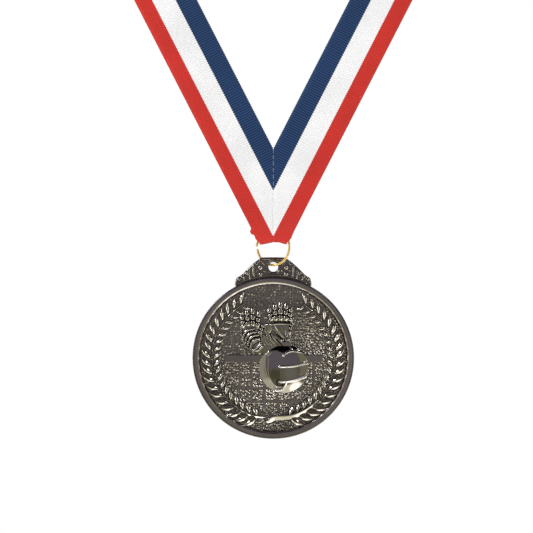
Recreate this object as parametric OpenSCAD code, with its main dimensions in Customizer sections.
// Sports medal, volleyball, hanging by a jump ring from a neck ribbon.
// The medal's face looks toward -Y. +Z is up. The origin is at the nape of the
// neck, in the middle of the ribbon, where the wearer or a hook holds it.

/* [Medal] */
// Diameter of the disc
disc_d = 63.5; // [60:0.5:66]
// Thickness of the disc at its rim
rim_t = 3.6; // [3.2:0.1:4.4]
// Width of the flat rim on the front
rim_w = 2.5; // [2:0.1:3]
// Depth of the front field below the rim
field_recess = 0.9; // [0.6:0.1:1.1]
// Depth of the plain reverse below its rim
back_recess = 0.4; // [0.2:0.1:0.6]
// Height of the leaves, net and player above the field
relief_h = 0.6; // [0.4:0.1:0.8]

/* [Ball] */
// Diameter of the ball where it meets the field
ball_d = 19.3; // [17:0.1:20]
// Height of the ball above the field
ball_h = 3.4; // [2.5:0.1:4]

/* [Wreath] */
// Leaf pairs on each branch
leaf_n = 19; // [14:1:19]
// Length of a leaf
leaf_l = 4.4; // [3.4:0.1:4.6]
// Width of a leaf
leaf_w = 1.6; // [1.2:0.1:1.9]

/* [Lug and ring] */
// Thickness of the lug's plate
lug_t = 1.4; // [1.2:0.1:1.4]
// Diameter of the lug's hole
hole_d = 3.8; // [3.8:0.1:4.2]
// Bevel of the hole's edges
hole_bevel = 0.55; // [0.5:0.05:0.6]
// Diameter of the ring's wire
wire_d = 0.9; // [0.7:0.05:0.9]

/* [Ribbon] */
// Thickness of the woven ribbon
ribbon_t = 0.5; // [0.4:0.05:0.55]
// Thickness of the sewing thread
thread_d = 0.3; // [0.2:0.05:0.4]

/* [Hidden] */
$fn = 64;

// Places, measured from the disc's centre when it is 63.5 mm across
nape = [0, 130, 262];      // middle of the ribbon at the nape
ribbon_w = 22;             // woven width, 7/8 inch
lean = 27.15;              // each arm's angle from the vertical
meet_z = 58.1;             // where the two arms' centre lines meet
straight = 150;            // straight part of each arm
flex_z = 60;               // line at which the tip bends
flex_gap = 0.25;           // half the gap at that line
fold_z = 45.4;             // bottom of the fold
ring_r = 7.25;             // centre line of the wire
ring_z = 43.8;             // centre of the ring
ring_yaw = 30;             // turn of the ring that the lug's hole needs
hole_drop = 0.75;          // hole centre below the wire
hole_z = ring_z - ring_r - hole_drop;
disc_r = disc_d / 2;
disc_z = hole_z - 4.05 - disc_r;
field_y = -(rim_t / 2 - field_recess);
branch_r = 24.4;

// Shoulder and nape: one smooth curve from the top of the straight arm
q0 = [straight * sin(lean), 0, meet_z + straight * cos(lean)];
q1 = q0 + 100 * [sin(lean), 0, cos(lean)];
q2 = [108, 130, 262];
q3 = nape;
nape_tilt = 25;
w_front = [cos(lean), 0, -sin(lean)];
w_nape = [0, sin(nape_tilt), -cos(nape_tilt)];

module placed() { translate(-nape) children(); }

function unit(v) = v / norm(v);
function clamp01(a) = max(0, min(1, a));
function ease(a) = let (b = clamp01(a)) b * b * (3 - 2 * b);

// A closed slab between two grids of points, front and back
module slab(a, b) {
  n = len(a);
  m = len(a[0]);
  pts = concat([for (r = a) for (p = r) p], [for (r = b) for (p = r) p]);
  o = n * m;
  f1 = [for (i = [0:n - 2]) for (j = [0:m - 2]) each
        [[i * m + j, i * m + j + 1, (i + 1) * m + j + 1],
         [i * m + j, (i + 1) * m + j + 1, (i + 1) * m + j]]];
  f2 = [for (f = f1) [f[0] + o, f[2] + o, f[1] + o]];
  e1 = [for (i = [0:n - 2]) each
        [[i * m, (i + 1) * m, (i + 1) * m + o], [i * m, (i + 1) * m + o, i * m + o]]];
  e2 = [for (i = [0:n - 2]) let (k = m - 1) each
        [[(i + 1) * m + k, i * m + k, i * m + k + o],
         [(i + 1) * m + k, i * m + k + o, (i + 1) * m + k + o]]];
  e3 = [for (j = [0:m - 2]) each [[j + 1, j, j + o], [j + 1, j + o, j + 1 + o]]];
  e4 = [for (j = [0:m - 2]) let (k = (n - 1) * m + j) each
        [[k, k + 1, k + 1 + o], [k, k + 1 + o, k + o]]];
  polyhedron(pts, concat(f1, f2, e1, e2, e3, e4));
}

// ---- ribbon -------------------------------------------------------------

// Half width of the closed part of the V at height z
function vee_hw(z) = (z - (meet_z - ribbon_w / 2 / sin(lean))) * tan(lean);

function bez(t) = pow(1 - t, 3) * q0 + 3 * pow(1 - t, 2) * t * q1 + 3 * (1 - t) * t * t * q2 + pow(t, 3) * q3;
function bez_d(t) = 3 * pow(1 - t, 2) * (q1 - q0) + 6 * (1 - t) * t * (q2 - q1) + 3 * t * t * (q3 - q2);
function bez_w(t) = let (d = unit(bez_d(t)), w = (1 - t) * w_front + t * w_nape) unit(w - (w * d) * d);

// One section: outer edge, inner edge, and the ribbon's own normal
function flat_sec(s) = let (c = [s * sin(lean), 0, meet_z + s * cos(lean)])
  [c + ribbon_w / 2 * w_front, c - ribbon_w / 2 * w_front, [0, -1, 0]];
function arc_sec(t) = let (c = bez(t), w = bez_w(t))
  [c + ribbon_w / 2 * w, c - ribbon_w / 2 * w, cross(w, unit(bez_d(t)))];

arm_secs = concat(
  [[[vee_hw(flex_z + flex_gap), 0, flex_z + flex_gap], [0, 0, flex_z + flex_gap], [0, -1, 0]]],
  [for (s = [ribbon_w / 2 / tan(lean), 60, 105, straight]) flat_sec(s)],
  [for (k = [1:22]) arc_sec(k / 22)]);

module arm() {
  slab([for (c = arm_secs) [c[1] + c[2] * ribbon_t / 2, c[0] + c[2] * ribbon_t / 2]],
       [for (c = arm_secs) [c[1] - c[2] * ribbon_t / 2, c[0] - c[2] * ribbon_t / 2]]);
}

module neck_ribbon() {
  color("firebrick") placed() union() { arm(); mirror([1, 0, 0]) arm(); }
}

// Front layer of the tip: it leans forward and turns a little, to pass before the ring
function tip_y(x, z) = -ease((flex_z - z) / (flex_z - fold_z)) * (2.9 + 0.3 * x);
// Back layer: it follows the ring, then closes on the front layer above it
function flap_y(x, z) = let (b = ease((z - 51.7) / 2.1), n = tip_y(x, z) + ribbon_t + 0.08)
  (1 - b) * max(1.0 - tan(ring_yaw) * x, n) + b * n;

tip_path = concat(
  [for (k = [0:9]) ["front", flex_z - flex_gap - k * (flex_z - flex_gap - fold_z - 0.8) / 9]],
  [for (a = [30:30:150]) ["fold", a]],
  [for (k = [0:9]) ["flap", fold_z + 0.8 + k * 1.02]]);

function tip_hw(z) = z > 47.2 ? vee_hw(z) : z > 46.7 ? 6.2 : z > 46.3 ? 5.9 : 5.3;
function tip_pt(p, f) =
  p[0] == "front" ? let (x = f * tip_hw(p[1])) [x, tip_y(x, p[1]), p[1]] :
  p[0] == "fold" ? let (x = f * 5.15, z = fold_z + 0.8, c = cos(p[1]))
    [x, tip_y(x, z) * (1 + c) / 2 + flap_y(x, z) * (1 - c) / 2, z - (0.8 - ribbon_t / 2) * sin(p[1])] :
  let (x = f * (5.15 - 0.42 * (p[1] - fold_z - 0.8))) [x, flap_y(x, p[1]), p[1]];

module ribbon_tip() {
  n = len(tip_path);
  cols = [-1:0.25:1];
  mid = [for (p = tip_path) [for (f = cols) tip_pt(p, f)]];
  m = len(mid[0]);
  nor = [for (i = [0:n - 1]) [for (j = [0:m - 1])
    let (d = mid[min(n - 1, i + 1)][j] - mid[max(0, i - 1)][j]) unit([0, d[2], -d[1]])]];
  color("snow") placed()
    slab([for (i = [0:n - 1]) [for (j = [0:m - 1]) mid[i][j] + nor[i][j] * ribbon_t / 2]],
         [for (i = [0:n - 1]) [for (j = [0:m - 1]) mid[i][j] - nor[i][j] * ribbon_t / 2]]);
}

// One straight stitch, a round rod of thread along z
module stitch(l) { cylinder(d = thread_d, h = l, $fn = 24); }

module mitre_stitching() {
  color("white") placed()
    for (z = [61:2.6:79.3]) translate([0, ribbon_t / 2, z]) stitch(2.1);
}

module fold_stitching() {
  color("white") placed()
    for (x = [-1:0.5:1])
      translate([x, flap_y(x, 53.9) + ribbon_t / 2 + 0.02, 53.9])
        rotate([-atan((flap_y(x, 55) - flap_y(x, 53.9)) / 1.1), 0, 0]) stitch(1.1);
}

// ---- ring ---------------------------------------------------------------

module jump_ring() {
  color("gold") placed() translate([0, 0, ring_z]) rotate([90, 0, -ring_yaw])
    difference() {
      rotate_extrude($fn = 96) translate([ring_r, 0]) circle(d = wire_d, $fn = 32);
      translate([-0.06, ring_r - 1, -1]) cube([0.12, 2, 2]);
    }
}

// ---- medal --------------------------------------------------------------

// Turns a flat drawing in x and y into relief that stands out of the face
module facing(y) { translate([0, y, 0]) rotate([90, 0, 0]) children(); }

module disc_body() {
  h = rim_t / 2;
  facing(0) rotate_extrude($fn = 128) polygon([
    [0, -(h - back_recess)], [disc_r - rim_w - 0.3, -(h - back_recess)],
    [disc_r - rim_w, -h], [disc_r - 0.5, -h], [disc_r, -h + 0.5],
    [disc_r, h - 0.5], [disc_r - 0.5, h], [disc_r - rim_w, h],
    [disc_r - rim_w - 0.25, -field_y], [0, -field_y]]);
}

lug_side = [[4.7, 7.75], [5.8, 7.0], [7.5, 5.75], [9.05, 4.4], [10.6, 2.85], [12.1, 1.35],
            [13.2, 0.45], [14.3, -0.15], [14.8, -1.3], [15.0, -3.2], [14.0, -5]];

module lug_outline() {
  polygon(concat([for (p = lug_side) [p[0], p[1] + disc_r]],
                 [for (k = [len(lug_side) - 1:-1:0]) [-lug_side[k][0], lug_side[k][1] + disc_r]]));
}

// Scroll-work beads on each side of the hole: x, height above the disc's edge, diameter
lug_beads = [[5.6, 6.2, 1.4], [7.2, 4.9, 1.3], [5.7, 4.4, 1.5], [8.6, 3.6, 1.3], [7.3, 2.7, 1.3],
             [10.1, 2.3, 1.3], [9.0, 1.4, 1.2], [11.5, 1.0, 1.3], [13.2, -0.6, 1.7]];

module lug() {
  difference() {
    union() {
      facing(lug_t / 2) linear_extrude(lug_t) lug_outline();
      for (b = lug_beads) for (s = [-1, 1])
        facing(-lug_t / 2) translate([s * b[0], b[1] + disc_r, -0.2]) cylinder(d = b[2], h = 0.8, $fn = 24);
    }
    facing(lug_t / 2 + 1) translate([0, disc_r + 4.05, 0]) cylinder(d = hole_d, h = lug_t + 2);
    for (s = [-1, 1]) translate([0, s * lug_t / 2, disc_r + 4.05]) rotate([90 * s, 0, 0])
      translate([0, 0, -0.01]) cylinder(r1 = hole_d / 2 + hole_bevel + 0.01, r2 = hole_d / 2, h = hole_bevel + 0.01);
  }
}

module leaf() {
  linear_extrude(relief_h + 0.3)
    polygon([for (k = [0:5]) let (t = k / 5) [leaf_w / 2 * sin(180 * pow(t, 0.8)), leaf_l * t],
             each [for (k = [4:-1:1]) let (t = k / 5) [-leaf_w / 2 * sin(180 * pow(t, 0.8)), leaf_l * t]]]);
}

// One branch: leaves in pairs, outside and inside a thin stem
module branch() {
  a0 = 16;
  step = 140 / leaf_n;
  facing(field_y + 0.3) {
    rotate([0, 0, -90]) rotate_extrude(angle = 156, $fn = 96)
      translate([branch_r - 0.3, 0]) square([0.6, relief_h]);
    for (k = [0:leaf_n - 1]) rotate([0, 0, -90 + a0 + k * step]) translate([branch_r, 0, 0]) {
      translate([0.45, 0, 0]) rotate([0, 0, -32]) leaf();
      translate([-0.45, 0, 0]) rotate([0, 0, 28]) leaf();
    }
  }
}

module net() {
  facing(field_y + 0.3) intersection() {
    linear_extrude(0.3 + relief_h / 2) union() {
      translate([-18.8, -1.6]) square([38.6, 2.7]);
      for (z = [-6.7, -11.9, -17]) translate([-20, z - 0.5]) square([40, 1.0]);
      for (x = [-13.3, -8.5, -3.4, 15.9]) translate([x - 0.5, -21]) square([1.0, 20.5]);
    }
    cylinder(r = 20.3, h = 4);
  }
}

module ball() {
  r = ball_d / 2;
  big = (r * r + ball_h * ball_h) / (2 * ball_h);
  translate([4.1, 0, -4.0]) facing(field_y) rotate_extrude($fn = 96)
    polygon(concat([[0, -0.3], [r, -0.3]],
      [for (k = [0:12]) let (a = asin(r / big) * (1 - k / 12)) [big * sin(a), big * cos(a) - big + ball_h]]));
}

// Two raised hands over the net, and the player's head and shoulders behind it
module player() {
  facing(field_y + 0.3) linear_extrude(0.3 + relief_h) {
    polygon([[-12.4, 12.6], [-5.2, 12.6], [-5.0, 8.5], [-6.8, 4.2], [-10.2, 3.2], [-12.6, 8.5]]);
    for (f = [[-12.2, 12, -12.6, 17.0], [-10.1, 12, -10.3, 19.3], [-8.2, 12, -8.0, 19.0], [-6.3, 12, -5.4, 17.2]])
      finger(f);
    polygon([[-1.6, 14.4], [6.6, 14.4], [7.0, 9.0], [4.5, 4.4], [1.0, 6.2], [-0.8, 10.2]]);
    for (f = [[-1.0, 14, -1.6, 18.4], [0.9, 14, 0.4, 21.0], [3.0, 14, 2.9, 21.8], [5.0, 14, 5.2, 21.0], [6.3, 12, 7.0, 17.0]])
      finger(f);
    translate([-2.1, 11.2]) circle(r = 2.0);
    polygon([[-5.4, 9.0], [1.0, 9.0], [3.6, 4.0], [-5.8, 2.6]]);
  }
}

module finger(f) {
  a = atan2(f[3] - f[1], f[2] - f[0]);
  l = norm([f[2] - f[0], f[3] - f[1]]);
  translate([f[0], f[1]]) rotate(a) { translate([0, -0.7]) square([l, 1.4]); translate([l, 0]) circle(r = 0.7, $fn = 24); }
}

module medal_casting() {
  color("dimgray") placed() translate([0, 0, disc_z]) union() {
    disc_body();
    lug();
    branch();
    mirror([1, 0, 0]) branch();
    net();
    ball();
    player();
  }
}

medal_casting();
jump_ring();
neck_ribbon();
ribbon_tip();
mitre_stitching();
fold_stitching();
